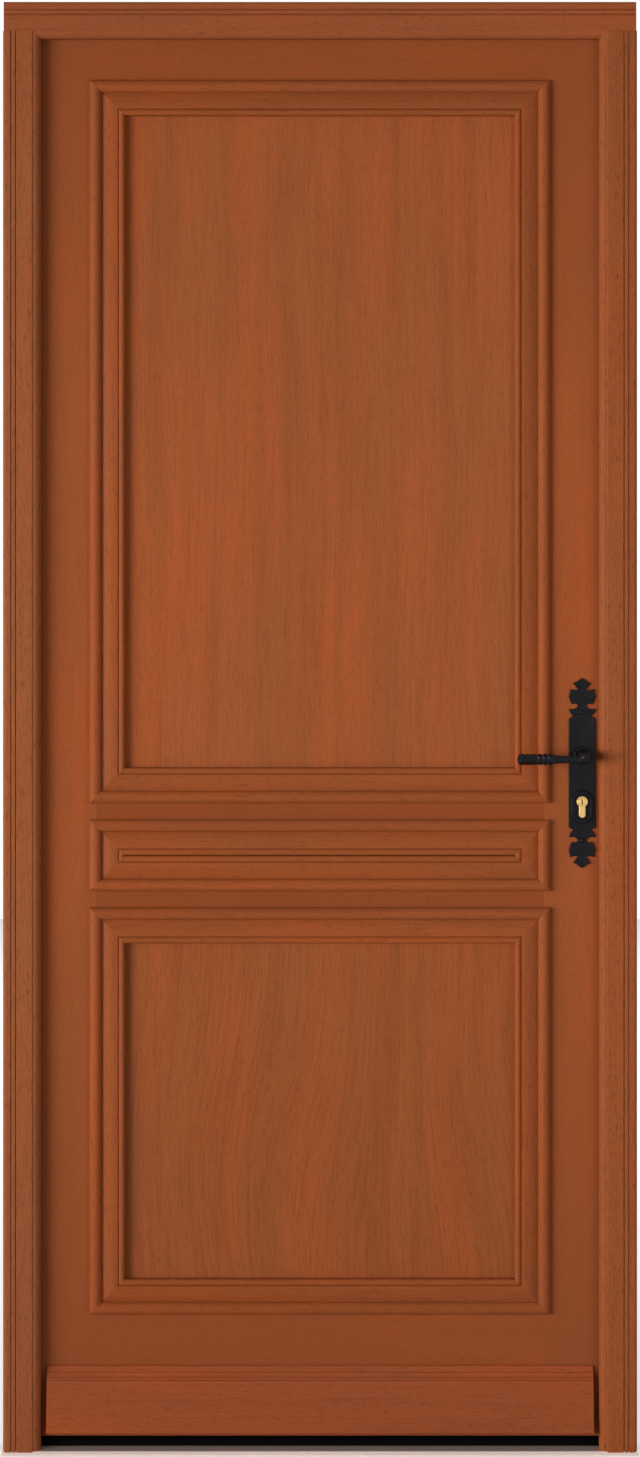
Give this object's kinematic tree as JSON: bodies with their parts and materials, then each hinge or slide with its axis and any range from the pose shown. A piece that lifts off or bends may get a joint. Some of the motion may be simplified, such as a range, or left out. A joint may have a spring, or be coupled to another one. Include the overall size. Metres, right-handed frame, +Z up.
{
  "type": "wooden front door with frame",
  "caption": "Panelled timber entrance door hung in its frame, opening inward, with bolection mouldings, weatherboard, low threshold, mortise lock and wrought-iron lever handles.",
  "frame": {"origin": "middle of the threshold's underside, at its front edge on the outside face of the frame", "axes": "+Z up, +X to the right seen from outside, +Y into the house"},
  "size_m": [0.964, 0.171, 2.2],
  "materials": {
    "frame_wood": "satin stain",
    "leaf_wood": "satin stain",
    "black_iron": "matt black",
    "brass": "brushed",
    "steel": "zinc plated",
    "aluminium": "mill finish",
    "black_plastic": "matt",
    "rubber": "matt"
  },
  "bodies": {
    "frame": {"hinge_jamb": "frame_wood", "lock_jamb": "frame_wood", "head": "frame_wood", "hinge_jamb_facing": "frame_wood", "lock_jamb_facing": "frame_wood", "head_facing": "frame_wood", "threshold_apron": "aluminium", "threshold_riser": "black_plastic", "frame_seal": "rubber", "strike_plate": "steel", "strike_screws": "steel", "hinge_frame_halves": "steel"},
    "leaf": {"bottom_rail": "leaf_wood", "bottom_seal": "rubber", "faceplate_screws": "steel", "frieze_moulding_bottom": "leaf_wood", "frieze_moulding_left": "leaf_wood", "frieze_moulding_right": "leaf_wood", "frieze_moulding_top": "leaf_wood", "frieze_panel": "leaf_wood", "hinge_leaf_halves": "steel", "hinge_stile": "leaf_wood", "inside_collar": "black_iron", "inside_escutcheon": "black_iron", "inside_plate": "black_iron", "level_room_mouldings": "leaf_wood", "lock_case": "steel", "lock_cover": "steel", "lock_cylinder": "brass", "lock_faceplate": "steel", "lock_stile": "leaf_wood", "lower_mid_rail": "leaf_wood", "lower_moulding_bottom": "leaf_wood", "lower_moulding_left": "leaf_wood", "lower_moulding_right": "leaf_wood", "lower_moulding_top": "leaf_wood", "lower_panel": "leaf_wood", "outside_collar": "black_iron", "outside_escutcheon": "black_iron", "outside_plate": "black_iron", "plate_bolts": "black_iron", "top_rail": "leaf_wood", "upper_mid_rail": "leaf_wood", "upper_moulding_bottom": "leaf_wood", "upper_moulding_left": "leaf_wood", "upper_moulding_right": "leaf_wood", "upper_moulding_top": "leaf_wood", "upper_panel": "leaf_wood", "upright_room_mouldings": "leaf_wood", "weatherboard": "leaf_wood"},
    "lever_set": {"outside_lever": "black_iron", "inside_lever": "black_iron", "spindle": "steel", "follower": "steel"},
    "latch": {"latch_bolt": "steel"},
    "key_plug": {"cylinder_plug": "brass", "plug_cam": "steel"},
    "bolt": {"dead_bolt": "steel"}
  },
  "joints": [
    {"name": "leaf_swing", "type": "hinge", "parent": "frame", "child": "leaf", "pos_m": [-0.4405, 0.0775, 1.1], "axis": [0, 0, 1], "range_deg": [0, 105]},
    {"name": "lever_turn", "type": "hinge", "parent": "leaf", "child": "lever_set", "pos_m": [0.398, 0.046, 1.058], "axis": [0, -1, 0], "range_deg": [0, 40], "stiffness_Nm_per_rad": 1.2, "springref_deg": -40.11},
    {"name": "latch_slide", "type": "slide", "parent": "leaf", "child": "latch", "axis": [1, 0, 0], "range_m": [-0.012, 0]},
    {"name": "plug_turn", "type": "hinge", "parent": "leaf", "child": "key_plug", "pos_m": [0.398, 0.046, 0.988], "axis": [0, -1, 0], "range_deg": [0, 360]},
    {"name": "bolt_slide", "type": "slide", "parent": "leaf", "child": "bolt", "axis": [1, 0, 0], "range_m": [0, 0.02]}
  ],
  "couplings": [
    {"joint": "latch_slide", "follows": "lever_turn", "m_per_rad": -0.017188},
    {"joint": "plug_turn", "follows": "bolt_slide", "rad_per_m": 314.16}
  ]
}
